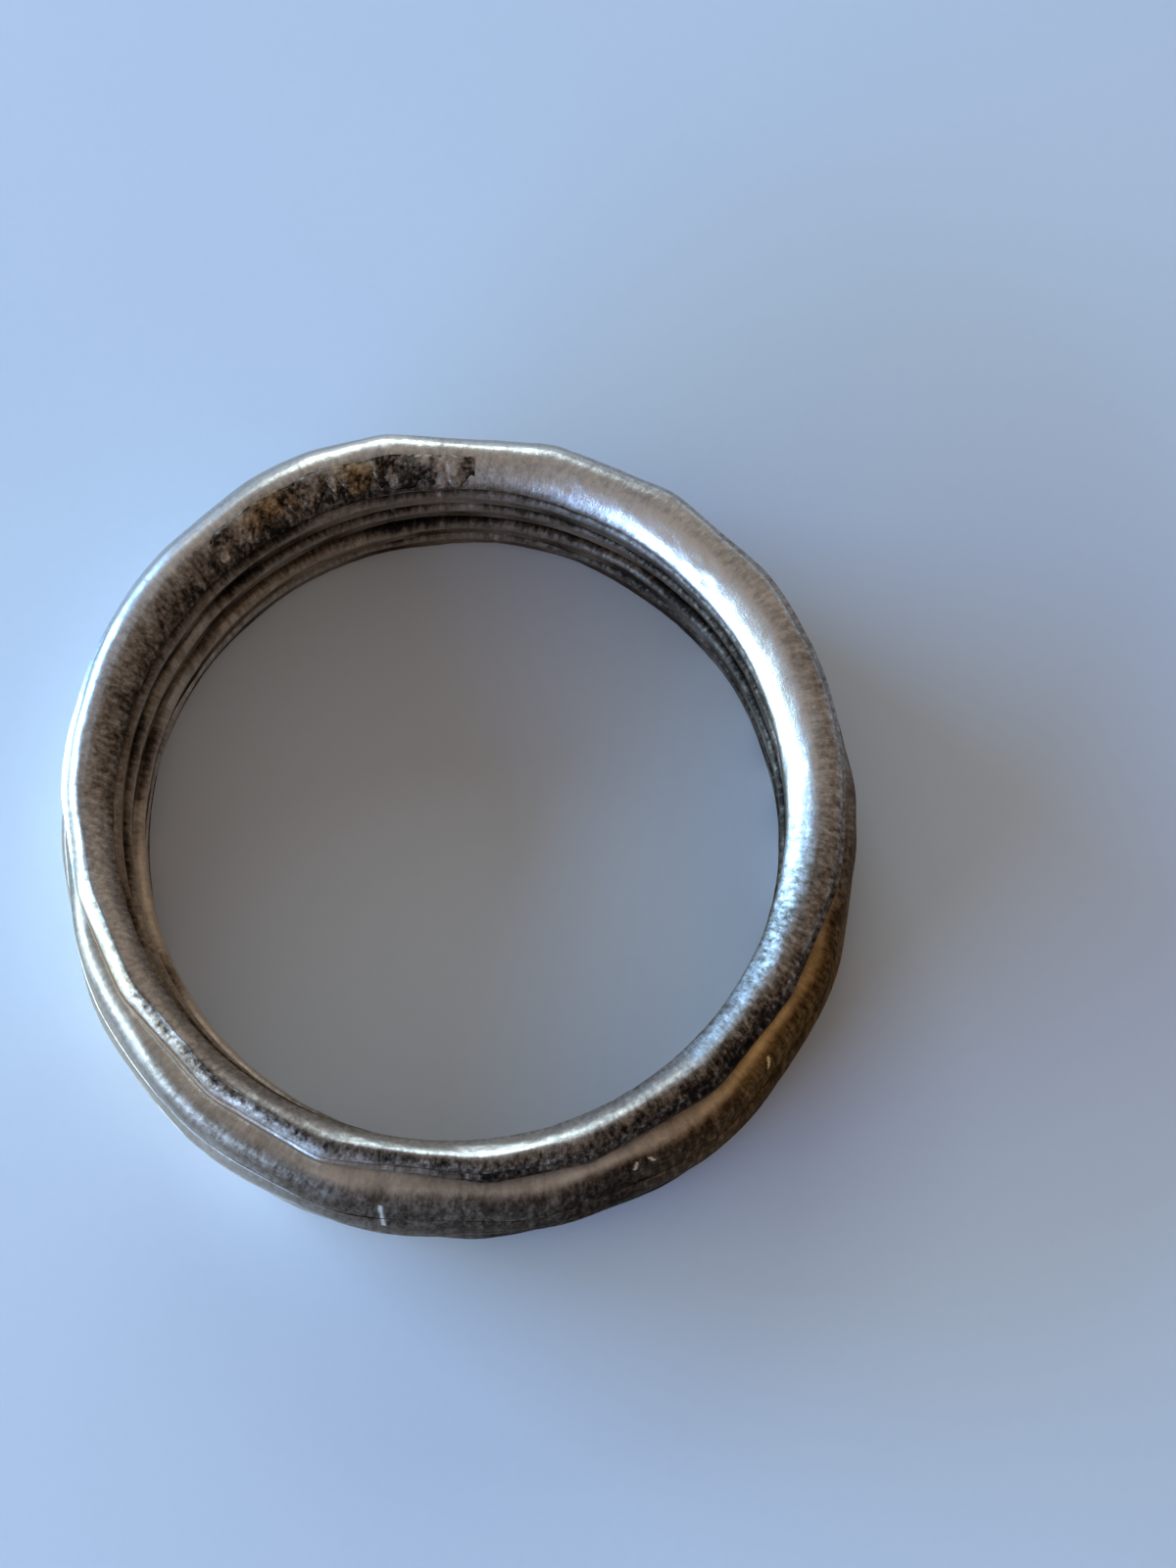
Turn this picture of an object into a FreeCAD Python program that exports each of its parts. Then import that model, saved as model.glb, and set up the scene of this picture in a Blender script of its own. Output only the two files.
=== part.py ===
import FreeCAD, Part
import math
import os
import Sketcher

# A closed stack of five hammered silver wire bands round one opening, which widens a little upwards.
# The frame: +Z is the axis of the opening, the origin is on it where the two lowest bands meet, which is
# the middle of the opening's narrow end, and -Y is the front, where the lower bands are widest.
# All lengths are in millimetres, angles in degrees.

# Driving dimensions that all bands share.
SHARED = {
    "band_height": 1.0,         # each wire, measured up the stack
    "band_gap": 0.03,           # loose clearance between one band and the next
    "rim_round": 0.38,          # rounding of the outer edges that stand free
    "joint_round": 0.10,        # rounding of the outer edges where two bands are worn to one surface
    "bore_round": 0.22,         # rounding of the inner edges
    "mouth_round": 0.45,        # the top band's upper inner edge, which is rounded more
    "seam_width": 0.15,         # solder between the two ends of each wire
    "scar_thickness": 0.12,     # spare solder left standing on the top band's mouth
    "scar_start": 83.0,         # direction of the scar's first end, and how far round it reaches
    "scar_sweep": 45.0,
    "scar_low_edge": 164.0,     # where the scar starts and ends on the rounding, seen in section
    "scar_high_edge": 128.0,    # no nearer the top face, or the scar would stand above it
}
BAND_COUNT = 5

# Each band, from the bottom of the stack to the top. The bore is the band's share of the opening. The rim
# is a circle of its own, set off centre so that the wire is thicker at the front. A flat is where the
# hammer struck: its direction and how deep it cuts the rim.
BANDS = [
    {
        "name": "bottom_band", "bore_radius": 8.75, "bore_x": 0.0,
        "rim_radius": 10.95, "rim_x": -0.08, "rim_y": -0.30, "seam_angle": 78.0,
        "flats": [(5, 0.20), (45, 0.12), (85, 0.15), (120, 0.12), (155, 0.20), (195, 0.20), (225, 0.15),
                  (255, 0.20), (280, 0.22), (310, 0.15), (335, 0.22)],
    },
    {
        "name": "fourth_band", "bore_radius": 8.75, "bore_x": 0.0,
        "rim_radius": 11.10, "rim_x": -0.10, "rim_y": -0.40, "seam_angle": 112.0,
        "flats": [(25, 0.12), (58, 0.15), (100, 0.10), (135, 0.15), (182, 0.30), (208, 0.12), (240, 0.14),
                  (268, 0.28), (290, 0.20), (322, 0.18), (350, 0.30)],
    },
    {
        "name": "middle_band", "bore_radius": 8.95, "bore_x": -0.1,
        "rim_radius": 11.12, "rim_x": -0.12, "rim_y": -0.42, "seam_angle": 96.0,
        "flats": [(2, 0.22), (30, 0.12), (60, 0.10), (95, 0.15), (130, 0.12), (160, 0.20), (186, 0.26),
                  (213, 0.12), (236, 0.12), (262, 0.26), (284, 0.22), (317, 0.15), (340, 0.30)],
    },
    {
        "name": "second_band", "bore_radius": 9.05, "bore_x": -0.2,
        "rim_radius": 10.95, "rim_x": -0.08, "rim_y": -0.30, "seam_angle": 88.0,
        "flats": [(12, 0.20), (40, 0.10), (75, 0.15), (110, 0.12), (140, 0.15), (175, 0.30), (205, 0.12),
                  (234, 0.12), (262, 0.28), (286, 0.22), (318, 0.20), (345, 0.25)],
    },
    {
        "name": "top_band", "bore_radius": 9.12, "bore_x": -0.30,
        "rim_radius": 10.72, "rim_x": -0.16, "rim_y": 0.29, "seam_angle": 107.0,
        "flats": [(20, 0.02), (42, 0.20), (61, 0.36), (80, 0.48), (97, 0.16), (125, 0.10), (159, 0.04),
                  (183, 0.15), (197, 0.22), (215, 0.28), (233, 0.22), (257, 0.30), (275, 0.14), (294, 0.16),
                  (315, 0.14), (331, 0.13), (352, 0.04)],
    },
]

TOOL_REACH = 2.0        # how far each cutting block stands out past the metal it cuts
FLAT_LENGTH = 8.0       # longer than the deepest flat, so a block's ends never touch the rim
CENTRE = (-1, 1)        # the sketcher's own origin point
UP = FreeCAD.Vector(0, 0, 1)
CLOSE = 1e-4            # two lengths this near each other are the same
LEAST_VOLUME = 1e-3     # cubic millimetres: a smaller difference is rounding
ABOUT_Z = FreeCAD.Rotation(UP, 1)       # not zero degrees, so that it keeps its axis

doc = FreeCAD.newDocument("hammered_band_stack")
sheet = doc.addObject("Spreadsheet::Sheet", "dims")
next_row = 1


def add_dimension(alias, value):
    """Put one number in the sheet under its alias."""
    global next_row
    sheet.set(f"A{next_row}", alias)
    sheet.set(f"B{next_row}", str(value))
    sheet.setAlias(f"B{next_row}", alias)
    next_row += 1


def fill_sheet():
    """Write the shared sizes, then each band's own, one alias for each."""
    for alias, value in SHARED.items():
        add_dimension(alias, value)
    for band in BANDS:
        for key in ("bore_radius", "bore_x", "rim_radius", "rim_x", "rim_y", "seam_angle"):
            add_dimension(f"{band['name']}_{key}", band[key])
        for number, (angle, depth) in enumerate(band["flats"], 1):
            add_dimension(f"{band['name']}_flat{number}_angle", angle)
            add_dimension(f"{band['name']}_flat{number}_depth", depth)
    doc.recompute()


def base_height(level):
    """Expression for the underside of the band at this level, counted from the bottom of the stack."""
    return f"{level - 1} * (dims.band_height + dims.band_gap) + dims.band_gap / 2"


def edge_round(level, is_upper):
    """Which rounding a band has on an outer edge. The two highest bands show their upper edges."""
    is_free = level >= BAND_COUNT - 2 if is_upper else level == 0
    return "dims.rim_round" if is_free else "dims.joint_round"


def origin_plane(body, role):
    """The body's own origin plane with this role."""
    return next(feature for feature in body.Origin.OriginFeatures if feature.Role == role)


def circle_sketch(body, name, radius, centre_x, centre_y):
    """A sketch on the body's XY plane with one circle, its radius and centre bound to the sheet."""
    sketch = body.newObject("Sketcher::SketchObject", name)
    sketch.AttachmentSupport = [(origin_plane(body, "XY_Plane"), "")]
    sketch.MapMode = "FlatFace"
    start_radius = float(sketch.evalExpression(radius))
    sketch.addGeometry(Part.Circle(FreeCAD.Vector(0, 0, 0), UP, start_radius), False)
    size = sketch.addConstraint(Sketcher.Constraint("Radius", 0, start_radius))
    sketch.setExpression(f"Constraints[{size}]", radius)
    across = sketch.addConstraint(Sketcher.Constraint("DistanceX", *CENTRE, 0, 3, 0.0))
    sketch.setExpression(f"Constraints[{across}]", centre_x)
    along = sketch.addConstraint(Sketcher.Constraint("DistanceY", *CENTRE, 0, 3, 0.0))
    sketch.setExpression(f"Constraints[{along}]", centre_y)
    return sketch


def circle_edges(feature, radius, height):
    """Names of the feature's round edges with this radius at this height."""
    found = []
    for number, edge in enumerate(feature.Shape.Edges, 1):
        is_round = isinstance(edge.Curve, Part.Circle) and abs(edge.Curve.Radius - radius) < CLOSE
        if is_round and abs(edge.Curve.Center.z - height) < CLOSE:
            found.append(f"Edge{number}")
    return found


def add_fillet(body, base, name, edges, radius):
    """Round these edges of the base feature by a radius bound to the sheet."""
    fillet = body.newObject("PartDesign::Fillet", name)
    fillet.Base = (base, edges)
    fillet.Radius = float(body.evalExpression(radius))
    fillet.setExpression("Radius", radius)
    doc.recompute()
    return fillet


def round_hoop(band, level):
    """The wire before it is hammered: a padded rim, the bore cut through it, and rounded edges."""
    name = band["name"]
    bore = f"dims.{name}_bore_radius"
    body = doc.addObject("PartDesign::Body", f"{name}_hoop")
    rim = circle_sketch(body, f"{name}_rim", f"dims.{name}_rim_radius",
                        f"dims.{name}_rim_x", f"dims.{name}_rim_y")
    pad = body.newObject("PartDesign::Pad", f"{name}_pad")
    pad.Profile = rim
    pad.setExpression("Length", "dims.band_height")
    doc.recompute()
    disc_volume = pad.Shape.Volume

    opening = circle_sketch(body, f"{name}_opening", bore, f"dims.{name}_bore_x", "0")
    pocket = body.newObject("PartDesign::Pocket", f"{name}_pocket")
    pocket.Profile = opening
    pocket.Type = "ThroughAll"
    pocket.Midplane = True
    doc.recompute()
    removed = math.pi * band["bore_radius"] ** 2 * SHARED["band_height"]
    if abs(disc_volume - pocket.Shape.Volume - removed) > LEAST_VOLUME:
        raise RuntimeError(f"{name}: the opening isn't cut through")

    bottom = 0.0
    top = SHARED["band_height"]
    last = pocket
    for height in (bottom, top):
        rim_edge = circle_edges(last, band["rim_radius"], height)
        last = add_fillet(body, last, f"{name}_rim_fillet", rim_edge, edge_round(level, height == top))
        bore_edge = circle_edges(last, band["bore_radius"], height)
        is_mouth = name == "top_band" and height == top
        last = add_fillet(body, last, f"{name}_bore_fillet", bore_edge,
                          "dims.mouth_round" if is_mouth else "dims.bore_round")
    body.setExpression("Placement.Base.z", base_height(level))
    return body


def cutting_block(name, angle, inner_x, inner_y, length, width, level):
    """A block taller than a band, turned about Z by an angle, with its first corner at inner_x, inner_y."""
    block = doc.addObject("Part::Box", name)
    block.setExpression("Length", length)
    block.setExpression("Width", width)
    block.setExpression("Height", f"dims.band_height + {2 * TOOL_REACH}")
    block.Placement.Rotation = ABOUT_Z
    block.setExpression("Placement.Rotation.Angle", angle)
    block.setExpression("Placement.Base.x", inner_x)
    block.setExpression("Placement.Base.y", inner_y)
    block.setExpression("Placement.Base.z", f"{base_height(level)} - {TOOL_REACH}")
    return block


def hammered(band, hoop, level):
    """The hoop with every hammered flat cut into its rim."""
    name = band["name"]
    blocks = []
    for number in range(1, len(band["flats"]) + 1):
        angle = f"dims.{name}_flat{number}_angle"
        reach = f"(dims.{name}_rim_radius - dims.{name}_flat{number}_depth)"
        half = FLAT_LENGTH / 2
        corner_x = f"dims.{name}_rim_x + {reach} * cos({angle} * 1deg) + {half} * sin({angle} * 1deg)"
        corner_y = f"dims.{name}_rim_y + {reach} * sin({angle} * 1deg) - {half} * cos({angle} * 1deg)"
        blocks.append(cutting_block(f"{name}_hammer{number}", f"{angle} * 1deg", corner_x, corner_y,
                                    f"{TOOL_REACH}", f"{FLAT_LENGTH}", level))
    hammer = doc.addObject("Part::MultiFuse", f"{name}_hammers")
    hammer.Shapes = blocks
    flattened = doc.addObject("Part::Cut", f"{name}_flattened")
    flattened.Base = hoop
    flattened.Tool = hammer
    return flattened


def split_at_seam(band, flattened, level):
    """The wire, open where its two ends meet, and the sliver of solder that closes it."""
    name = band["name"]
    angle = f"dims.{name}_seam_angle"
    inner = f"(dims.{name}_bore_radius - {TOOL_REACH})"
    corner_x = f"{inner} * cos({angle} * 1deg) + dims.seam_width / 2 * sin({angle} * 1deg)"
    corner_y = f"{inner} * sin({angle} * 1deg) - dims.seam_width / 2 * cos({angle} * 1deg)"
    saw = cutting_block(f"{name}_saw", f"{angle} * 1deg", corner_x, corner_y,
                        f"dims.{name}_rim_radius - dims.{name}_bore_radius + {2 * TOOL_REACH}",
                        "dims.seam_width", level)
    wire = doc.addObject("Part::Cut", name)
    wire.Base = flattened
    wire.Tool = saw
    wire.Label = name
    solder = doc.addObject("Part::Common", f"{name}_seam")
    solder.Base = flattened
    solder.Tool = saw
    solder.Label = f"{name}_seam"
    return [wire, solder]


def solder_scar():
    """Spare solder on the top band's rounded mouth: a thin curved section swept part of the way round."""
    body = doc.addObject("PartDesign::Body", "top_band_solder_scar")
    body.Label = "top_band_solder_scar"
    sketch = body.newObject("Sketcher::SketchObject", "scar_section")
    sketch.AttachmentSupport = [(origin_plane(body, "XZ_Plane"), "")]
    sketch.MapMode = "FlatFace"
    centre_x = "dims.top_band_bore_radius + dims.mouth_round"
    centre_y = "dims.band_height - dims.mouth_round"
    centre = FreeCAD.Vector(sketch.evalExpression(centre_x), sketch.evalExpression(centre_y), 0)
    first = math.radians(SHARED["scar_high_edge"])
    last = math.radians(SHARED["scar_low_edge"])
    inner_radius = SHARED["mouth_round"]
    outer_radius = inner_radius + SHARED["scar_thickness"]

    def on_arc(radius, turn):
        return centre + FreeCAD.Vector(radius * math.cos(turn), radius * math.sin(turn), 0)

    def add_arc(radius):
        return sketch.addGeometry(Part.ArcOfCircle(Part.Circle(centre, UP, radius), first, last), False)

    def add_end(turn):
        ends = (on_arc(inner_radius, turn), on_arc(outer_radius, turn))
        return sketch.addGeometry(Part.LineSegment(*ends), False)

    inner = add_arc(inner_radius)
    outer = add_arc(outer_radius)
    high = add_end(first)
    low = add_end(last)
    for line, end, slope in ((high, 1, "dims.scar_high_edge"), (low, 2, "dims.scar_low_edge")):
        sketch.addConstraint(Sketcher.Constraint("Coincident", line, 1, inner, end))
        sketch.addConstraint(Sketcher.Constraint("Coincident", line, 2, outer, end))
        sketch.addConstraint(Sketcher.Constraint("PointOnObject", inner, 3, line))
        number = sketch.addConstraint(Sketcher.Constraint("Angle", line, (first, last)[end - 1]))
        sketch.setExpression(f"Constraints[{number}]", f"{slope} * 1deg")
    sketch.addConstraint(Sketcher.Constraint("Coincident", inner, 3, outer, 3))
    bound = [
        (Sketcher.Constraint("DistanceX", *CENTRE, inner, 3, centre.x), centre_x),
        (Sketcher.Constraint("DistanceY", *CENTRE, inner, 3, centre.y), centre_y),
        (Sketcher.Constraint("Radius", inner, inner_radius), "dims.mouth_round"),
        (Sketcher.Constraint("Radius", outer, outer_radius), "dims.mouth_round + dims.scar_thickness"),
    ]
    for constraint, expression in bound:
        number = sketch.addConstraint(constraint)
        sketch.setExpression(f"Constraints[{number}]", expression)
    sweep = body.newObject("PartDesign::Revolution", "scar_sweep_feature")
    sweep.Profile = sketch
    sweep.ReferenceAxis = (sketch, ["V_Axis"])
    sweep.setExpression("Angle", "dims.scar_sweep * 1deg")
    body.Placement.Rotation = ABOUT_Z
    body.setExpression("Placement.Rotation.Angle", "dims.scar_start * 1deg")
    body.setExpression("Placement.Base.x", "dims.top_band_bore_x")
    body.setExpression("Placement.Base.z", base_height(BAND_COUNT - 1))
    return body


def check_and_export(pieces):
    """Stop if anything failed, then write each piece to its own file."""
    for item in doc.Objects:
        if "Invalid" in item.State or "Error" in item.State:
            raise RuntimeError(f"{item.Name} failed: {item.State}")
    for piece in pieces:
        shape = piece.Shape
        if shape.isNull() or not shape.isValid() or len(shape.Solids) != 1:
            raise RuntimeError(f"{piece.Label} isn't one valid solid")
    os.makedirs("parts", exist_ok=True)
    for piece in pieces:
        piece.Shape.exportStep(f"parts/{piece.Label}.step")
        box = piece.Shape.optimalBoundingBox(False)
        print(f"{piece.Label}: volume {piece.Shape.Volume:.3f} mm3, z {box.ZMin:.3f} to {box.ZMax:.3f}, "
              f"x {box.XMin:.3f} to {box.XMax:.3f}, y {box.YMin:.3f} to {box.YMax:.3f}")


fill_sheet()
pieces = []
for level, band in enumerate(BANDS):
    hoop = round_hoop(band, level)
    flattened = hammered(band, hoop, level)
    pieces += split_at_seam(band, flattened, level)
pieces.append(solder_scar())
doc.recompute()
check_and_export(pieces)
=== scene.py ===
import math

import bpy
import numpy as np
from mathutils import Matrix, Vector
from mathutils.bvhtree import BVHTree


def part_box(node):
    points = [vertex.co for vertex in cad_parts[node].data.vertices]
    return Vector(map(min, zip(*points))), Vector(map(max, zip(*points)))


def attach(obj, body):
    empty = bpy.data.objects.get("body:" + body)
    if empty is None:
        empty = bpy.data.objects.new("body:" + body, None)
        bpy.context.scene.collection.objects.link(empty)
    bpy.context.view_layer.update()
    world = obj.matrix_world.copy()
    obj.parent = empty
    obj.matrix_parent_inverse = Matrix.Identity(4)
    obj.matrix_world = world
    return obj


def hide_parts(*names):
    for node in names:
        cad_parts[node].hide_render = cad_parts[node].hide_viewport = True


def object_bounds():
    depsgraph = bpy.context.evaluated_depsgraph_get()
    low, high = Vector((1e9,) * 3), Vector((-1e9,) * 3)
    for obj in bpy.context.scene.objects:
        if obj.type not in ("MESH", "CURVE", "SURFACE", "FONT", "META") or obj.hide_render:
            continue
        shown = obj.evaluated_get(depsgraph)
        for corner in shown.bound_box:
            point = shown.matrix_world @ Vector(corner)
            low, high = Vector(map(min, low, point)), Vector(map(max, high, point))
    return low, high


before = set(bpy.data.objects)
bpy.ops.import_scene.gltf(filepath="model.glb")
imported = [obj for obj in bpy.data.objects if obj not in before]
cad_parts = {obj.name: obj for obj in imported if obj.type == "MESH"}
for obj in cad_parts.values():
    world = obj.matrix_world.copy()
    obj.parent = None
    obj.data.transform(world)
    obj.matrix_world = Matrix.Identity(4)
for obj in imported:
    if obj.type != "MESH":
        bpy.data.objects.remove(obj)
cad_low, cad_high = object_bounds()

# Five hammered wire bands, stacked and tarnished. The CAD gives each band's place, height, opening and rim;
# this script builds the worn metal inside those limits. Sizes are in millimetres and turned into metres
# as each mesh is made. Directions are turns about +Z in degrees: 0 is +X, 90 is the back, 270 the front.
MM = 0.001
LOWER_BANDS = ["bottom_band", "fourth_band", "middle_band", "second_band"]
BANDS = LOWER_BANDS + ["top_band"]
ROUND_STEPS = 1152          # mesh steps round a whole wire
SEAM_WIDTH = 0.15
RAY_COUNT = 720             # directions in which a CAD wire is measured
RAY_START = 20.0            # outside every rim

# Edge rounding of each wire's section: the inner and outer edges, upper and lower, and how square each is
# (2 is a round edge, nearer 1 is a flat bevel).
SECTIONS = {
    "top_band": {"bore_top": (0.50, 2.0), "rim_top": (0.62, 2.0), "rim_bottom": (0.16, 2.0),
                 "bore_bottom": (0.26, 2.0)},
    "second_band": {"bore_top": (0.30, 2.0), "rim_top": (0.55, 2.0), "rim_bottom": (0.04, 2.0),
                    "bore_bottom": (0.26, 2.0)},
    "middle_band": {"bore_top": (0.28, 2.0), "rim_top": (0.04, 2.0), "rim_bottom": (0.04, 2.0),
                    "bore_bottom": (0.26, 2.0)},
    "fourth_band": {"bore_top": (0.28, 2.0), "rim_top": (0.04, 2.0), "rim_bottom": (0.04, 2.0),
                    "bore_bottom": (0.26, 2.0)},
    "bottom_band": {"bore_top": (0.28, 2.0), "rim_top": (0.04, 2.0), "rim_bottom": (0.45, 2.0),
                    "bore_bottom": (0.24, 2.0)},
}
# The top band's upper side is a dome: the shares of its width that are rounded, and how far down.
# On its left its outer edge is hammered to a crisp bevel: where, how far each way, its size and shape.
DOME = {"bore": 0.55, "bore_height": 0.66, "bore_squareness": 1.4, "rim": 0.39, "rim_height": 0.46}
BEVEL = {"direction": 208.0, "half_arc": 62.0, "across": 0.46, "tall": 0.34, "squareness": 1.12}
# Mesh steps along each stretch of a section, in order: up the bore, over the top, down the rim, back below.
STRETCHES = {"bore": 10, "bore_top": 19, "top": 6, "rim_top": 15, "rim": 9, "rim_bottom": 6, "bottom": 4,
             "bore_bottom": 6}


def around(count, start=0.0, sweep=360.0):
    """This many directions, in degrees, from start; a full turn doesn't repeat its first."""
    return start + np.arange(count) * sweep / count


def window(turns, centre, half_width):
    """1 in the middle of an arc, falling smoothly to 0 at its two ends."""
    away = np.abs((turns - centre + 180.0) % 360.0 - 180.0) / half_width
    inside = np.clip(1.0 - away, 0.0, 1.0)
    return inside * inside * (3.0 - 2.0 * inside)


def ring_noise(turns, across, cells_round, cells_across, seed):
    """Smooth noise from 0 to 1 over a wire's surface, with no join in either direction."""
    grid = np.random.default_rng(seed).random((cells_round, cells_across))
    a = (turns / 360.0 % 1.0) * cells_round
    b = (across % 1.0) * cells_across
    a0 = np.floor(a).astype(int)
    b0 = np.floor(b).astype(int)
    fa = a - a0
    fb = b - b0
    fa = fa * fa * (3 - 2 * fa)
    fb = fb * fb * (3 - 2 * fb)
    a0 %= cells_round
    b0 %= cells_across
    a1 = (a0 + 1) % cells_round
    b1 = (b0 + 1) % cells_across
    low = grid[a0, b0] * (1 - fa) + grid[a1, b0] * fa
    high = grid[a0, b1] * (1 - fa) + grid[a1, b1] * fa
    return low * (1 - fb) + high * fb


def smooth_round(values, degrees):
    """The values softened round the turn by a bell of this half-width."""
    steps = np.arange(len(values))
    away = np.minimum(steps, len(values) - steps) * 360.0 / len(values)
    bell = np.exp(-0.5 * (away / degrees) ** 2)
    return np.real(np.fft.ifft(np.fft.fft(values) * np.fft.fft(bell / bell.sum())))


def measure_wire(name):
    """How far the CAD wire's bore and rim are from the Z axis in each direction, half way up it, in mm."""
    low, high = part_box(name)
    middle = Vector((0, 0, (low.z + high.z) / 2))
    trees = []
    for node in (name, f"{name}_seam"):
        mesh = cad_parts[node].data
        corners = [v.co for v in mesh.vertices]
        trees.append(BVHTree.FromPolygons(corners, [p.vertices[:] for p in mesh.polygons]))
    bores = []
    rims = []
    for turn in np.radians(around(RAY_COUNT)):
        out = Vector((math.cos(turn), math.sin(turn), 0))
        from_axis = [tree.ray_cast(middle, out)[3] for tree in trees]
        from_outside = [tree.ray_cast(middle + out * RAY_START * MM, -out)[3] for tree in trees]
        bores.append(min(hit for hit in from_axis if hit is not None) / MM)
        rims.append(RAY_START - min(hit for hit in from_outside if hit is not None) / MM)
    return np.array(bores), np.array(rims)


# Hammer marks are softened most where the lower bands have worn to one surface.
RIM_SOFTNESS = {"top_band": 1.3, "second_band": 3.0, "middle_band": 3.5, "fourth_band": 3.5, "bottom_band": 3.5}
FLOORS = {name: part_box(name)[0].z / MM for name in BANDS}
HEIGHT = (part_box("top_band")[1].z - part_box("top_band")[0].z) / MM
BORES = {}
RIMS = {}
for band in BANDS:
    BORES[band], rough_rim = measure_wire(band)
    RIMS[band] = smooth_round(rough_rim, RIM_SOFTNESS[band])


def looked_up(values, turns):
    """One of the measured distances, in these directions."""
    return np.interp(turns % 360.0, around(RAY_COUNT), values, period=360.0)


def rim_at(name, turns, heights):
    """Outer radius of a wire at these directions and heights. The lower four wires wear to one shared curve."""
    if name == "top_band":
        return looked_up(RIMS[name], turns)
    first = FLOORS[LOWER_BANDS[0]]
    pitch = FLOORS[LOWER_BANDS[1]] - first
    level = (heights - first - HEIGHT / 2) / pitch
    shared = 0.0 * (turns + heights)
    for number in range(-1, len(LOWER_BANDS) + 1):
        band = LOWER_BANDS[min(max(number, 0), len(LOWER_BANDS) - 1)]
        away = np.abs(level - number)
        weight = np.where(away < 0.5, 0.75 - away ** 2, 0.5 * np.clip(1.5 - away, 0.0, None) ** 2)
        shared = shared + weight * looked_up(RIMS[band], turns)
    return shared


def edges_of(name, turns):
    """How far each rounded edge of a wire reaches across and up in these directions, and its squareness."""
    edges = {edge: (size, size, squareness) for edge, (size, squareness) in SECTIONS[name].items()}
    if name == "top_band":
        width = rim_at(name, turns, 0.0) - looked_up(BORES[name], turns)
        crisp = window(turns, BEVEL["direction"], BEVEL["half_arc"]) ** 0.5
        across, tall, squareness = (DOME["rim"] * width, DOME["rim_height"], 2.0)
        edges["bore_top"] = (DOME["bore"] * width, DOME["bore_height"], DOME["bore_squareness"])
        edges["rim_top"] = tuple(wide + crisp * (BEVEL[key] - wide) for wide, key in
                                 ((across, "across"), (tall, "tall"), (squareness, "squareness")))
    return edges


def corner(squareness, t):
    """Shares of the two sides' lengths, the one being left and the one being joined, as t goes round an edge."""
    turn = t * math.pi / 2
    return 1 - np.cos(turn) ** (2 / squareness), 1 - np.sin(turn) ** (2 / squareness)


def section(name, turns):
    """Closed section of a wire in each direction: its radius and height over the floor of the band, both with
    one row for each direction and one column for each step, and which stretch each column is on."""
    turns = turns[:, None]
    edges = edges_of(name, turns)
    columns = {"radius": [], "height": [], "stretch": []}
    floor = FLOORS[name]
    bore = looked_up(BORES[name], turns)

    def put(stretch, from_bore, from_rim, height):
        if from_rim is None:
            radius = bore + from_bore
        else:
            radius = rim_at(name, turns, floor + height) - from_rim
        columns["radius"].append(radius)
        columns["height"].append(height + 0 * turns)
        columns["stretch"].append(stretch)

    for stretch, steps in STRETCHES.items():
        for t in np.arange(steps) / steps:
            if stretch in edges:
                across, tall, squareness = edges[stretch]
                left, joined = corner(squareness, t)
            if stretch == "bore":
                low, high = edges["bore_bottom"][1], edges["bore_top"][1]
                put(stretch, 0.0, None, low + t * (HEIGHT - low - high))
            elif stretch == "bore_top":
                put(stretch, across * left, None, HEIGHT - tall * joined)
            elif stretch in ("top", "bottom"):
                near, far = edges[f"bore_{stretch}"][0], edges[f"rim_{stretch}"][0]
                height = HEIGHT if stretch == "top" else 0.0
                share = t if stretch == "top" else 1 - t
                inner = bore + near
                outer = rim_at(name, turns, floor + height) - far
                columns["radius"].append(inner + share * (outer - inner))
                columns["height"].append(height + 0 * turns)
                columns["stretch"].append(stretch)
            elif stretch == "rim_top":
                put(stretch, None, across * joined, HEIGHT - tall * left)
            elif stretch == "rim":
                high, low = edges["rim_top"][1], edges["rim_bottom"][1]
                put(stretch, None, 0.0, HEIGHT - high - t * (HEIGHT - high - low))
            elif stretch == "rim_bottom":
                put(stretch, None, across * left, tall * joined)
            else:
                put(stretch, across * joined, None, tall * left)
    return np.hstack(columns["radius"]), np.hstack(columns["height"]), np.array(columns["stretch"])


def outward(radius, height):
    """Unit normals of a closed section, in its own plane."""
    along_r = np.roll(radius, -1, 1) - np.roll(radius, 1, 1)
    along_z = np.roll(height, -1, 1) - np.roll(height, 1, 1)
    size = np.hypot(along_r, along_z) + 1e-12
    return -along_z / size, along_r / size


def blurred(values, reach):
    """Values smoothed across the section, over this many columns each way."""
    weights = [reach + 1 - abs(shift) for shift in range(-reach, reach + 1)]
    total = sum(weight * np.roll(values, shift, 1) for weight, shift in zip(weights, range(-reach, reach + 1)))
    return total / sum(weights)


def strikes(turns, across, seed, count, depth, spread):
    """Shallow dents left by the hammer and by wear, at seeded places over the wire."""
    random = np.random.default_rng(seed)
    total = np.zeros(np.broadcast(turns, across).shape)
    for _ in range(count):
        place = random.uniform(0, 360)
        level = random.uniform(0, 1)
        wide = spread * random.uniform(0.5, 1.6)
        strong = depth * random.uniform(0.3, 1.0)
        d_turn = (turns - place + 180) % 360 - 180
        d_across = (across - level + 0.5) % 1.0 - 0.5
        total = total + strong * np.exp(-(d_turn / wide) ** 2 - (d_across / (0.02 * wide)) ** 2)
    return total


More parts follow.
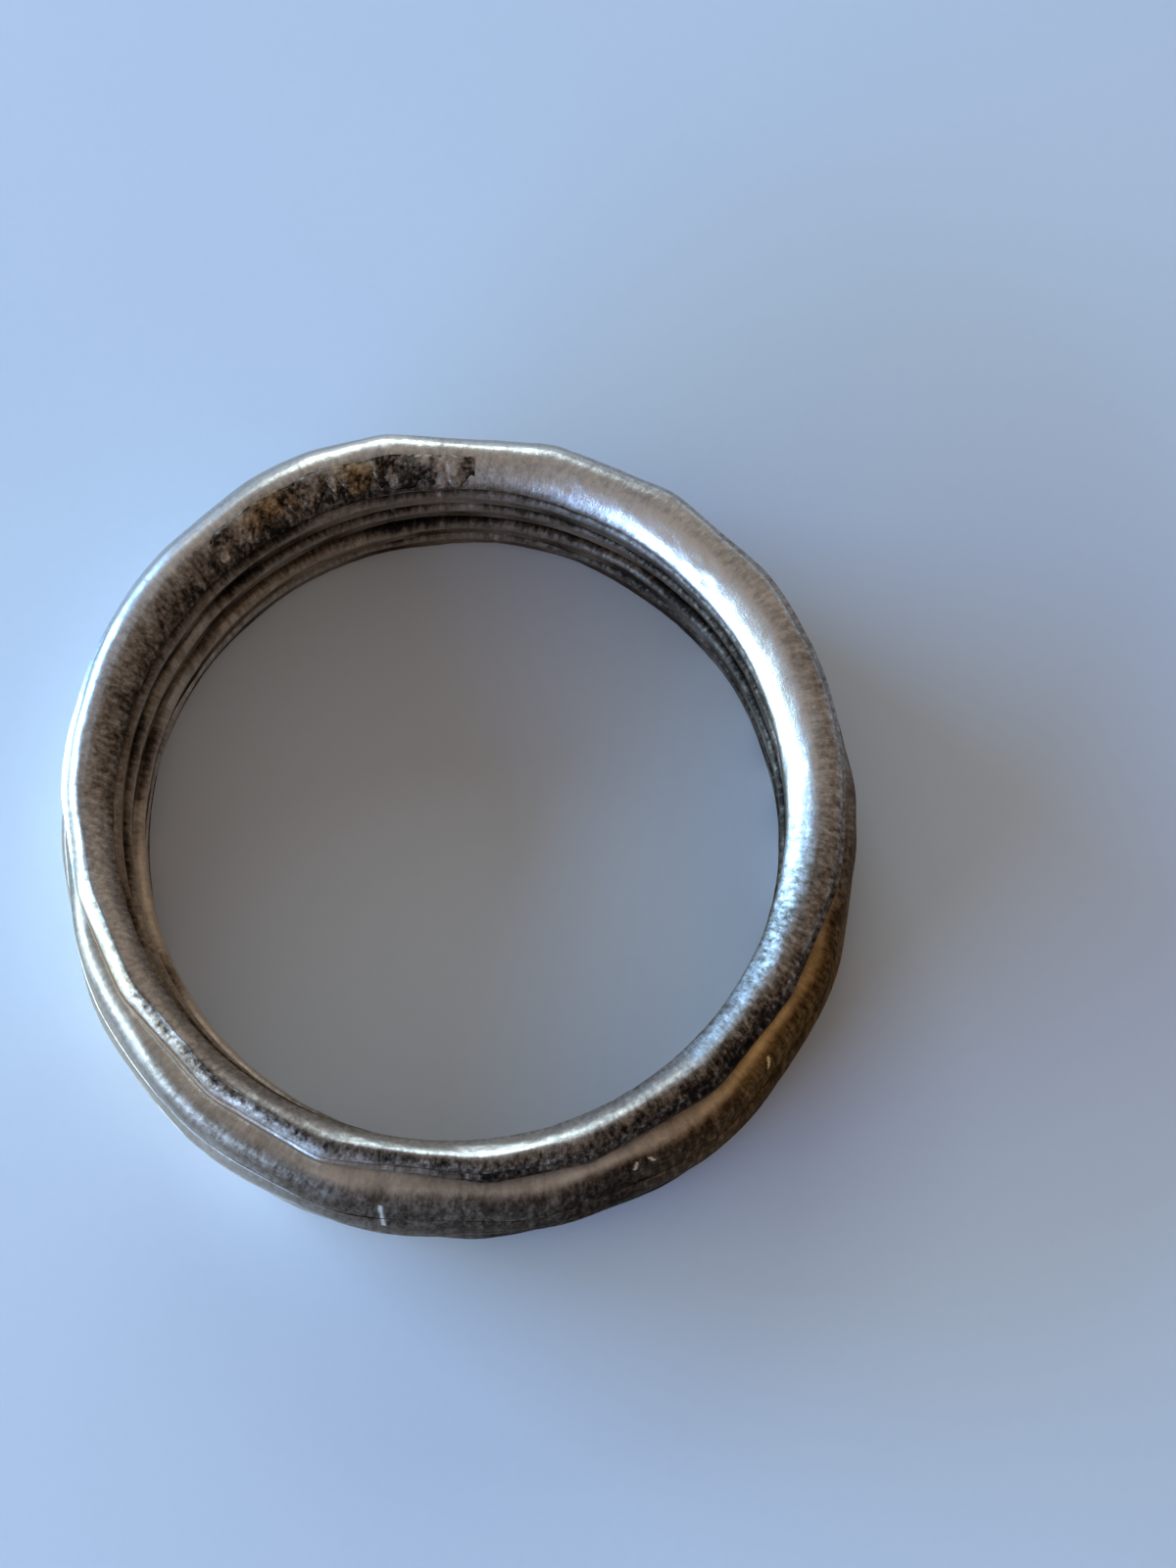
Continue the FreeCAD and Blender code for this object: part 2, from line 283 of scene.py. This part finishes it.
def wire_surface(name, turns):
    """Points of the worn wire's surface, in mm, and what the material needs to know about each point."""
    seed = BANDS.index(name) * 100
    radius, height, stretch = section(name, turns)
    length = np.cumsum(np.hypot(np.diff(radius, axis=1, append=radius[:, :1]),
                                np.diff(height, axis=1, append=height[:, :1])), 1)
    across = np.roll(length / length[:, -1:], 1, 1) % 1.0
    t = turns[:, None]
    n_r, n_z = outward(radius, height)
    on_top = np.isin(stretch, ["top", "rim_top"])[None, :]
    inside = blurred(1.0 * np.isin(stretch, ["bore", "bore_bottom"])[None, :], 5)

    depth = 0.030 * ring_noise(t, across, 46, 9, seed + 1) + 0.014 * ring_noise(t, across, 150, 22, seed + 2)
    depth = depth + 0.005 * ring_noise(t, across, 420, 40, seed + 3)
    depth = depth + strikes(t, across, seed + 4, 60, 0.03, 2.2)
    if name == "top_band":
        bore = looked_up(BORES[name], t)
        share = np.clip((radius - bore) / (rim_at(name, t, 0) - bore), 0, 1)
        tilt = 0.10 * np.clip(3 * share - 2, 0, 1) ** 2 * (0.4 + 0.9 * ring_noise(t, 0.5 + 0 * across, 15, 2, seed + 5))
        depth = depth + on_top * tilt
    depth = depth * (1.0 - 0.3 * inside) + inside * 0.10 * ring_noise(t, across, 28, 3, seed + 6)
    radius = radius - depth * n_r
    height = height - depth * n_z

    turn = np.radians(t)
    points = np.stack([radius * np.cos(turn), radius * np.sin(turn), FLOORS[name] + height], -1)
    return points, radius, height, across + 0 * t, stretch


# How dark the metal is before the material's own mottling, from 0, bright, to 1, black: for each direction,
# at a few places across the surface. On the top band they go from the mouth over the dome to the outer edge.
# On the top band these values mix tarnish with painted light: they are raised on the mouth at the right front to
# dim the window's reflection there (painted shade), and elsewhere made lighter or darker to match the light each
# side caught (painted shade and highlight).
DOME_PLACES = [0.0, 0.20, 0.46, 0.66, 1.0]
DOME_TARNISH_AND_SHADE = {
    0: [0.30, 0.04, 0.12, 0.38, 0.38],
    45: [0.30, 0.02, 0.10, 0.36, 0.26],
    72: [0.55, 0.26, 0.26, 0.28, 0.14],
    100: [0.84, 0.84, 0.66, 0.26, 0.06],
    130: [0.82, 0.80, 0.64, 0.24, 0.08],
    160: [0.76, 0.70, 0.52, 0.28, 0.14],
    185: [0.62, 0.40, 0.34, 0.50, 0.06],
    215: [0.58, 0.26, 0.26, 0.80, 0.0],
    245: [0.54, 0.26, 0.26, 0.86, 0.24],
    270: [0.50, 0.10, 0.10, 0.72, 0.82],
    305: [0.54, 0.46, 0.42, 0.74, 0.92],
    335: [0.56, 0.62, 0.56, 0.62, 0.76],
}
# On the lower bands they go from the stack's floor up its outer side to the edge beside the top band.
# These values also mix tarnish with painted light: the thin light last step at the top edge is a painted highlight
# where that edge catches the light, the lighter middle at 305 and 330 is a painted warm glint line, and the left side
# is made lighter where it faces the window (partly painted highlight).
SIDE_PLACES = [0.0, 0.35, 0.75, 0.984, 0.994]
SIDE_TARNISH_AND_SHADE = {
    0: [0.85, 0.66, 0.66, 0.56, 0.34],
    60: [0.60, 0.50, 0.52, 0.48, 0.40],
    150: [0.30, 0.22, 0.30, 0.44, 0.40],
    195: [0.0, 0.0, 0.16, 0.40, 0.36],
    228: [0.0, 0.0, 0.26, 0.60, 0.30],
    250: [0.30, 0.50, 0.74, 0.78, 0.20],
    275: [1.0, 0.98, 0.88, 0.82, 0.22],
    305: [1.0, 0.74, 0.80, 0.80, 0.26],
    330: [1.0, 0.58, 0.80, 0.80, 0.32],
}
WALL_TARNISH = 0.66
# Bright nicks on the lower bands: direction, place up the side, half of the length up it, and slant in degrees.
NICKS = [(252.8, 0.79, 0.15, -0.35), (289.5, 0.95, 0.02, 0.4), (292.0, 0.96, 0.015, -0.3), (314.0, 0.93, 0.03, 0.5)]


def spread(table, places, turns, place):
    """Value of such a table in these directions and places, smooth round the turn."""
    directions = sorted(table)
    rows = np.array([table[direction] for direction in directions])
    columns = np.stack([np.interp(turns[:, 0], directions, rows[:, k], period=360) for k in range(len(places))], 1)
    low = np.clip(np.searchsorted(places, place, side="right") - 1, 0, len(places) - 2)
    share = (place - np.array(places)[low]) / np.diff(places)[low]
    rank = np.arange(len(turns))[:, None]
    return columns[rank, low] * (1 - share) + columns[rank, low + 1] * share


def tarnish_and_shade_of(name, turns, radius, height, across, stretch):
    """How dark each point of a wire is, from tarnish and painted shade and highlight, how golden, with a painted warm
    glint on the lower bands, and how much it is streaked along the wire.
    """
    seed = BANDS.index(name) * 100
    t = turns[:, None]
    bore = looked_up(BORES[name], t)
    inside = np.isin(stretch, ["bore", "bore_bottom"])[None, :] + 0 * t
    wall = WALL_TARNISH + 0.5 * (ring_noise(t, across, 60, 4, seed + 13) - 0.5)
    if name == "top_band":
        place = np.clip((radius - bore) / (rim_at(name, t, 0.0) - bore), 0.0, 1.0)
        outer = spread(DOME_TARNISH_AND_SHADE, DOME_PLACES, t, place)
        near_joint = height
    else:
        stack = FLOORS["second_band"] + HEIGHT - FLOORS["bottom_band"]
        place = np.clip((FLOORS[name] - FLOORS["bottom_band"] + height) / stack, 0.0, 1.0)
        outer = spread(SIDE_TARNISH_AND_SHADE, SIDE_PLACES, t, place)
        near_joint = HEIGHT - height if name == "bottom_band" else np.minimum(height, HEIGHT - height)
    value = inside * wall + (1.0 - inside) * outer
    value = blurred(value, 3)
    # Darker, here more and there less, where two wires meet inside the opening.
    groove = np.clip(1.0 - near_joint / 0.26, 0.0, 1.0) ** 1.5
    value = value + (0.2 + 0.6 * ring_noise(t, 0 * across, 34, 2, seed + 14)) * groove * (radius < bore + 0.6)
    value = value + 0.16 * (ring_noise(t, across, 24, 5, seed + 11) - 0.5)
    gold_and_glint = 0.30 * ring_noise(t, across, 12, 3, seed + 12)
    if name == "top_band":
        gold_and_glint = gold_and_glint + 0.4 * (place > 0.66) * window(t, BEVEL["direction"], BEVEL["half_arc"])
    else:
        # The golden window at 320 is a painted warm glint along the lower bands' right front; the weaker one at 205 is
        # a yellowish tint.
        gold_and_glint = gold_and_glint + (1.0 - inside) * (window(t, 320, 45) + 0.35 * window(t, 205, 60))
        for direction, level, half_length, slant in NICKS:
            off = t - direction - slant * (place - level) / half_length
            value = value - (np.abs(place - level) < half_length) * np.exp(-(off / 0.24) ** 2)
    gold_and_glint = gold_and_glint + inside * 0.35 * window(t, 190, 80)
    return np.clip(value, 0.0, 1.0), np.clip(gold_and_glint, 0.0, 1.0), 1.0 * inside


def grid_mesh(name, rows):
    """A closed mesh object from rows of points in mm: each row is a loop, and the two ends are flat."""
    count, columns = rows.shape[:2]
    index = np.arange(count * columns).reshape(count, columns)
    first = index[:-1]
    second = index[1:]
    quads = np.stack([first, np.roll(first, -1, 1), np.roll(second, -1, 1), second], -1).reshape(-1, 4)
    faces = quads.tolist()
    faces.append(index[0][::-1].tolist())
    faces.append(index[-1].tolist())
    mesh = bpy.data.meshes.new(name)
    mesh.from_pydata((rows.reshape(-1, 3) * MM).tolist(), [], faces)
    mesh.update()
    mesh.polygons.foreach_set("use_smooth", [True] * len(faces))
    ends = np.zeros(len(mesh.edges) * 2, np.int32)
    mesh.edges.foreach_get("vertices", ends)
    row = ends.reshape(-1, 2) // columns
    on_end = (row[:, 0] == row[:, 1]) & ((row[:, 0] == 0) | (row[:, 0] == count - 1))
    mesh.edges.foreach_set("use_edge_sharp", on_end.tolist())
    obj = bpy.data.objects.new(name, mesh)
    bpy.context.scene.collection.objects.link(obj)
    return obj


def give_attributes(obj, turns, across, tarnish_and_shade, gold_and_glint, drawn):
    """Store what the material reads: tarnish with painted shade and highlight, gold with a painted warm glint, how much
    the metal is streaked along the wire, and two stretched coordinates in mm, one long along the wire and one long
    across it."""
    turn = np.radians(turns)[:, None] + 0 * across
    girth = across * 5.6
    flow = np.stack([1.2 * np.cos(turn), 1.2 * np.sin(turn), girth], -1)
    slant = turn + 0.008 * girth
    strokes = np.stack([16.0 * np.cos(slant), 16.0 * np.sin(slant), girth * 0.5], -1)
    for label, values in (("tarnish_and_shade", tarnish_and_shade), ("gold_and_glint", gold_and_glint), ("drawn", drawn)):
        data = obj.data.attributes.new(label, "FLOAT", "POINT")
        data.data.foreach_set("value", (values + 0 * across).astype(np.float32).ravel())
    for label, values in (("flow", flow), ("strokes", strokes)):
        data = obj.data.attributes.new(label, "FLOAT_VECTOR", "POINT")
        data.data.foreach_set("vector", values.astype(np.float32).ravel())


class Nodes:
    """A short way to write a material's node tree."""

    def __init__(self, name):
        self.material = bpy.data.materials.new(name)
        self.material.use_nodes = True
        self.tree = self.material.node_tree
        self.shader = self.tree.nodes["Principled BSDF"]

    def add(self, kind, inputs=(), **settings):
        node = self.tree.nodes.new(kind)
        for key, value in settings.items():
            setattr(node, key, value)
        for key, value in dict(inputs).items():
            socket = node.inputs[key]
            if isinstance(value, bpy.types.NodeSocket):
                self.tree.links.new(value, socket)
            else:
                socket.default_value = value
        return node

    def link(self, source, target):
        self.tree.links.new(source, target)

    def attribute(self, name, output):
        return self.add("ShaderNodeAttribute", attribute_name=name).outputs[output]

    def noise(self, vector, scale, detail=3.0, roughness=0.55):
        return self.add("ShaderNodeTexNoise", {"Vector": vector, "Scale": scale, "Detail": detail,
                                               "Roughness": roughness}).outputs["Fac"]

    def math(self, operation, a, b=0.0, clamp=False):
        return self.add("ShaderNodeMath", {0: a, 1: b}, operation=operation, use_clamp=clamp).outputs[0]

    def weighted(self, start, *terms):
        """start plus each (value - 0.5) times its weight."""
        total = start
        for value, weight in terms:
            total = self.math("ADD", total, self.math("MULTIPLY", self.math("SUBTRACT", value, 0.5), weight))
        return total

    def ramp(self, value, stops):
        node = self.add("ShaderNodeValToRGB", {"Fac": value})
        points = node.color_ramp.elements
        while len(points) < len(stops):
            points.new(0.5)
        for point, (place, colour) in zip(points, stops):
            point.position = place
            point.color = (*colour, 1.0)
        return node.outputs["Color"]

    def object_mm(self):
        place = self.add("ShaderNodeTexCoord").outputs["Object"]
        return self.add("ShaderNodeVectorMath", {0: place, 1: (1000.0, 1000.0, 1000.0)},
                        operation="MULTIPLY").outputs["Vector"]


BRIGHT = (0.96, 0.90, 0.82)
WARM_GREY = (0.52, 0.47, 0.42)
BROWN = (0.27, 0.218, 0.172)
DARK_BROWN = (0.090, 0.066, 0.049)
SOOT = (0.018, 0.015, 0.013)
# Tint of the golden tarnish and of the painted warm glint.
GOLD_AND_GLINT_TINT = (1.0, 0.66, 0.30, 1.0)
DULL_EDGE = (0.55, 0.52, 0.48, 1.0)         # tarnish keeps the metal from shining white at a low angle


def tarnished_metal(name, shift=0.0, roughness=(0.30, 0.55), mottling=1.0):
    """Silver that runs from polished to black with the tarnish attribute, which also holds painted shade and highlight,
    and mottling at several sizes.
    """
    n = Nodes(name)
    place = n.object_mm()
    flow = n.attribute("flow", "Vector")
    strokes = n.attribute("strokes", "Vector")
    # This attribute holds tarnish together with painted shade and painted highlight, set side by side.
    tarnish_and_shade = n.attribute("tarnish_and_shade", "Fac")
    # This attribute holds a golden tint and, on the lower bands' right front, a painted warm glint.
    gold_and_glint = n.attribute("gold_and_glint", "Fac")
    drawn = n.attribute("drawn", "Fac")
    streak = n.noise(flow, 7.0, 4.0, 0.6)
    stroke = n.noise(strokes, 4.2, 3.0, 0.6)
    patch = n.noise(place, 1.1, 4.0, 0.6)
    speck = n.noise(place, 8.0, 4.0, 0.65)
    along = n.add("ShaderNodeMath", {0: drawn, 1: 0.6, 2: 0.12}, operation="MULTIPLY_ADD").outputs[0]
    streaks = n.math("MULTIPLY", n.math("SUBTRACT", streak, 0.5), along)
    start = n.math("ADD", tarnish_and_shade, shift)
    crossing = n.math("MULTIPLY", n.math("SUBTRACT", stroke, 0.5),
                      n.add("ShaderNodeMath", {0: drawn, 1: -1.0, 2: 1.25}, operation="MULTIPLY_ADD").outputs[0])
    mottle = n.weighted(n.math("ADD", streaks, crossing), (patch, 0.7), (speck, 0.95))
    uneven = n.add("ShaderNodeMath", {0: tarnish_and_shade, 1: 1.1 * mottling, 2: 0.35 * mottling},
                   operation="MULTIPLY_ADD").outputs[0]
    depth = n.math("ADD", start, n.math("MULTIPLY", mottle, uneven))
    colour = n.ramp(depth, [(0.10, BRIGHT), (0.38, WARM_GREY), (0.60, BROWN), (0.82, DARK_BROWN), (1.0, SOOT)])
    tinted = n.add("ShaderNodeMix", {"Factor": gold_and_glint, "A": colour, "B": GOLD_AND_GLINT_TINT}, data_type="RGBA",
                   blend_type="MULTIPLY").outputs["Result"]
    n.link(tinted, n.shader.inputs["Base Color"])
    n.shader.inputs["Metallic"].default_value = 1.0
    n.shader.inputs["Specular Tint"].default_value = DULL_EDGE
    rough = n.add("ShaderNodeMapRange", {"Value": depth, "From Min": 0.1, "From Max": 0.9,
                                         "To Min": roughness[0], "To Max": roughness[1]}).outputs["Result"]
    n.link(rough, n.shader.inputs["Roughness"])
    fine = n.noise(strokes, 12.0, 3.0, 0.6)
    lines = n.noise(flow, 26.0, 3.0, 0.6)
    pits = n.noise(place, 14.0, 3.0, 0.6)
    relief = n.weighted(0.5, (fine, 0.7), (lines, 0.4), (pits, 0.6), (stroke, 0.6))
    bump = n.add("ShaderNodeBump", {"Height": relief, "Strength": 0.55, "Distance": 0.013 * MM})
    n.link(bump.outputs["Normal"], n.shader.inputs["Normal"])
    return n.material


def paper():
    """Pale matt paper with a faint uneven tone."""
    n = Nodes("paper")
    place = n.object_mm()
    tone = n.noise(place, 0.09, 3.0, 0.5)
    fibre = n.noise(place, 3.0, 3.0, 0.6)
    mixed = n.weighted(0.5, (tone, 0.5), (fibre, 0.25))
    colour = n.ramp(mixed, [(0.2, (0.74, 0.75, 0.77)), (0.8, (0.80, 0.81, 0.83))])
    n.link(colour, n.shader.inputs["Base Color"])
    n.shader.inputs["Roughness"].default_value = 0.8
    n.shader.inputs["Specular IOR Level"].default_value = 0.2
    bump = n.add("ShaderNodeBump", {"Height": fibre, "Strength": 0.3, "Distance": 0.01 * MM})
    n.link(bump.outputs["Normal"], n.shader.inputs["Normal"])
    return n.material


def add_band(name, material, solder):
    """The wire, open at its seam, and the solder that closes it."""
    low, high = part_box(f"{name}_seam")
    middle = (low + high) / 2
    seam = math.degrees(math.atan2(middle.y, middle.x))
    half = math.degrees(SEAM_WIDTH / 2 / ((BORES[name].mean() + RIMS[name].mean()) / 2))
    spans = {name: (seam + half, seam + 360.0 - half, ROUND_STEPS, material, "tarnished_silver"),
             f"{name}_seam": (seam - half, seam + half, 6, solder, "silver_solder")}
    for label, (start, end, steps, finish, slot) in spans.items():
        turns = np.linspace(start, end, steps + 1)
        points, radius, height, across, stretch = wire_surface(name, turns)
        piece = grid_mesh(f"{label}_worn", points)
        give_attributes(piece, turns, across, *tarnish_and_shade_of(name, turns, radius, height, across, stretch))
        piece.data.materials.append(finish)
        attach(piece, name.replace("_band", ""))
        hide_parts(label)


SCAR_START = 81.0
SCAR_SWEEP = 47.0
SCAR_STEPS = 620


def add_scar(material):
    """Lumps of spare solder and fire scale over the top band's rounded mouth."""
    turns = np.linspace(SCAR_START, SCAR_START + SCAR_SWEEP, SCAR_STEPS)
    _, radius, height, _, stretch = wire_surface("top_band", turns)
    n_r, n_z = outward(*section("top_band", turns)[:2])
    mouth = np.flatnonzero(stretch == "bore_top")
    used = np.arange(mouth[0], mouth[-1] + 6)
    t = turns[:, None]
    place = np.linspace(0, 1, len(used))[None, :]
    ragged = 0.65 * ring_noise(t, 0 * place, 110, 2, 901) + 0.35 * ring_noise(t, 0 * place, 380, 2, 902)
    low_edge = np.clip((place - 0.55 * ragged) / 0.12, 0, 1)
    high_edge = np.clip((0.80 + 0.2 * ring_noise(t, 0 * place, 90, 2, 907) - place) / 0.2, 0, 1)
    ends = np.clip((t - SCAR_START) / 3.0, 0, 1) * np.clip((SCAR_START + SCAR_SWEEP - t) / 4.0, 0, 1)
    coarse = ring_noise(t, place, 80, 3, 904)
    lumps = 0.35 + 0.6 * coarse * ring_noise(t, place, 190, 5, 903) + 0.35 * ring_noise(t, place, 420, 8, 908)
    cover = np.minimum(low_edge, high_edge) * ends
    thick = 0.11 * lumps * cover - 0.015
    turn = np.radians(t)

    def shell(lift):
        r = radius[:, used] + lift * n_r[:, used]
        z = np.minimum(height[:, used] + lift * n_z[:, used], HEIGHT - 0.002)
        return np.stack([r * np.cos(turn), r * np.sin(turn), FLOORS["top_band"] + z], -1)

    outer = shell(thick)
    inner = shell(-0.08 + 0 * thick)
    piece = grid_mesh("top_band_solder_scar_worn", np.concatenate([outer, inner[:, ::-1]], 1))
    loop = np.concatenate([place + 0 * t, place[:, ::-1] + 0 * t], 1)
    dark = 0.66 + 0.5 * (0.5 - coarse) + 0.5 * (ring_noise(t, place, 260, 6, 905) - 0.5)
    # Darker at 92 and 124 degrees and lighter at 86 on the solder; the dark notch at 107 is a painted shadow of the gap
    # between two solder strands.
    notch_shadow_and_marks = 0.3 * window(t, 92, 3) + 0.4 * window(t, 107, 4) + 0.3 * window(t, 124, 2) - 0.35 * window(t, 86, 4)
    dark = dark + 0.25 * (1.0 - np.minimum(low_edge, high_edge)) + notch_shadow_and_marks * (1.0 - 0.8 * place)
    gold_and_glint = 0.35 + 0.5 * window(t, 101, 6) + 0.5 * window(t, 116, 7) + 0 * place
    give_attributes(piece, turns, loop, np.concatenate([dark, dark[:, ::-1]], 1),
                    np.concatenate([gold_and_glint, gold_and_glint[:, ::-1]], 1), 0 * loop)
    piece.data.materials.append(material)
    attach(piece, "top")
    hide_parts("top_band_solder_scar")


def add_floor(level):
    """The pale sheet that the stack stands on."""
    half = 0.6
    mesh = bpy.data.meshes.new("paper_floor")
    corners = [(-half, -half, level), (half, -half, level), (half, half, level), (-half, half, level)]
    mesh.from_pydata(corners, [], [(0, 1, 2, 3)])
    floor = bpy.data.objects.new("paper_floor", mesh)
    bpy.context.scene.collection.objects.link(floor)
    mesh.materials.append(paper())


def add_light(name, azimuth, elevation, distance, size, power, colour):
    """A soft panel that faces the stack from this direction."""
    a = math.radians(azimuth)
    e = math.radians(elevation)
    data = bpy.data.lights.new(name, "AREA")
    data.shape = "RECTANGLE"
    data.size, data.size_y = size
    data.energy = power
    data.color = colour
    light = bpy.data.objects.new(name, data)
    out = Vector((math.cos(a) * math.cos(e), math.sin(a) * math.cos(e), math.sin(e)))
    light.location = out * distance
    light.rotation_mode = "QUATERNION"
    light.rotation_quaternion = out.to_track_quat("Z", "Y")
    bpy.context.scene.collection.objects.link(light)


# A low, wide, bluish window on the left in three parts, and a dim panel behind: azimuth, elevation, power, colour.
PANELS = {
    "window_far": (150, 14, 2.23, (0.22, 0.50, 1.0)),
    "window_middle": (180, 14, 0.81, (0.58, 0.91, 1.0)),
    "window_near": (210, 14, 1.41, (0.25, 0.48, 1.0)),
    "back_panel": (90, 25, 0.37, (0.57, 0.82, 1.0)),
}
PANEL_DISTANCE = 0.40
PANEL_SIZE = (0.22, 0.14)
SURROUND_COLOUR = (1.0, 0.91, 0.86, 1.0)
SURROUND_STRENGTH = 0.264


def add_lights():
    """The panels, and a dim warm surround."""
    for name, (azimuth, elevation, power, colour) in PANELS.items():
        add_light(name, azimuth, elevation, PANEL_DISTANCE, PANEL_SIZE, power, colour)
    world = bpy.data.worlds.new("surround")
    world.use_nodes = True
    background = world.node_tree.nodes["Background"]
    background.inputs["Color"].default_value = SURROUND_COLOUR
    background.inputs["Strength"].default_value = SURROUND_STRENGTH
    bpy.context.scene.world = world


def add_camera(floor_level):
    """Looks steeply down from in front, leaning a little to the right of the stack."""
    data = bpy.data.cameras.new("view_camera")
    data.sensor_width = 36.0
    data.lens = 36.0 * 5827.0 / 1600.0
    data.clip_start = 0.01
    data.clip_end = 10.0
    camera = bpy.data.objects.new("view_camera", data)
    camera.rotation_mode = "ZYX"
    camera.rotation_euler = (math.radians(14.0), math.radians(-1.9), math.radians(-6.1))
    camera.location = (-1.66 * MM, -37.34 * MM, floor_level + 155.5 * MM)
    bpy.context.scene.collection.objects.link(camera)
    bpy.context.scene.camera = camera


silver = tarnished_metal("tarnished_silver", mottling=0.72)
lower_silver = tarnished_metal("tarnished_silver_lower", roughness=(0.36, 0.56), mottling=0.42)
seam_solder = tarnished_metal("silver_solder", shift=-0.05)
scorched = tarnished_metal("scorched_solder", roughness=(0.3, 0.65), mottling=0.8)
for band in BANDS:
    add_band(band, silver if band == "top_band" else lower_silver, seam_solder)
add_scar(scorched)
add_floor(cad_low.z)
add_lights()
add_camera(cad_low.z)
bpy.context.scene.view_settings.view_transform = "Standard"
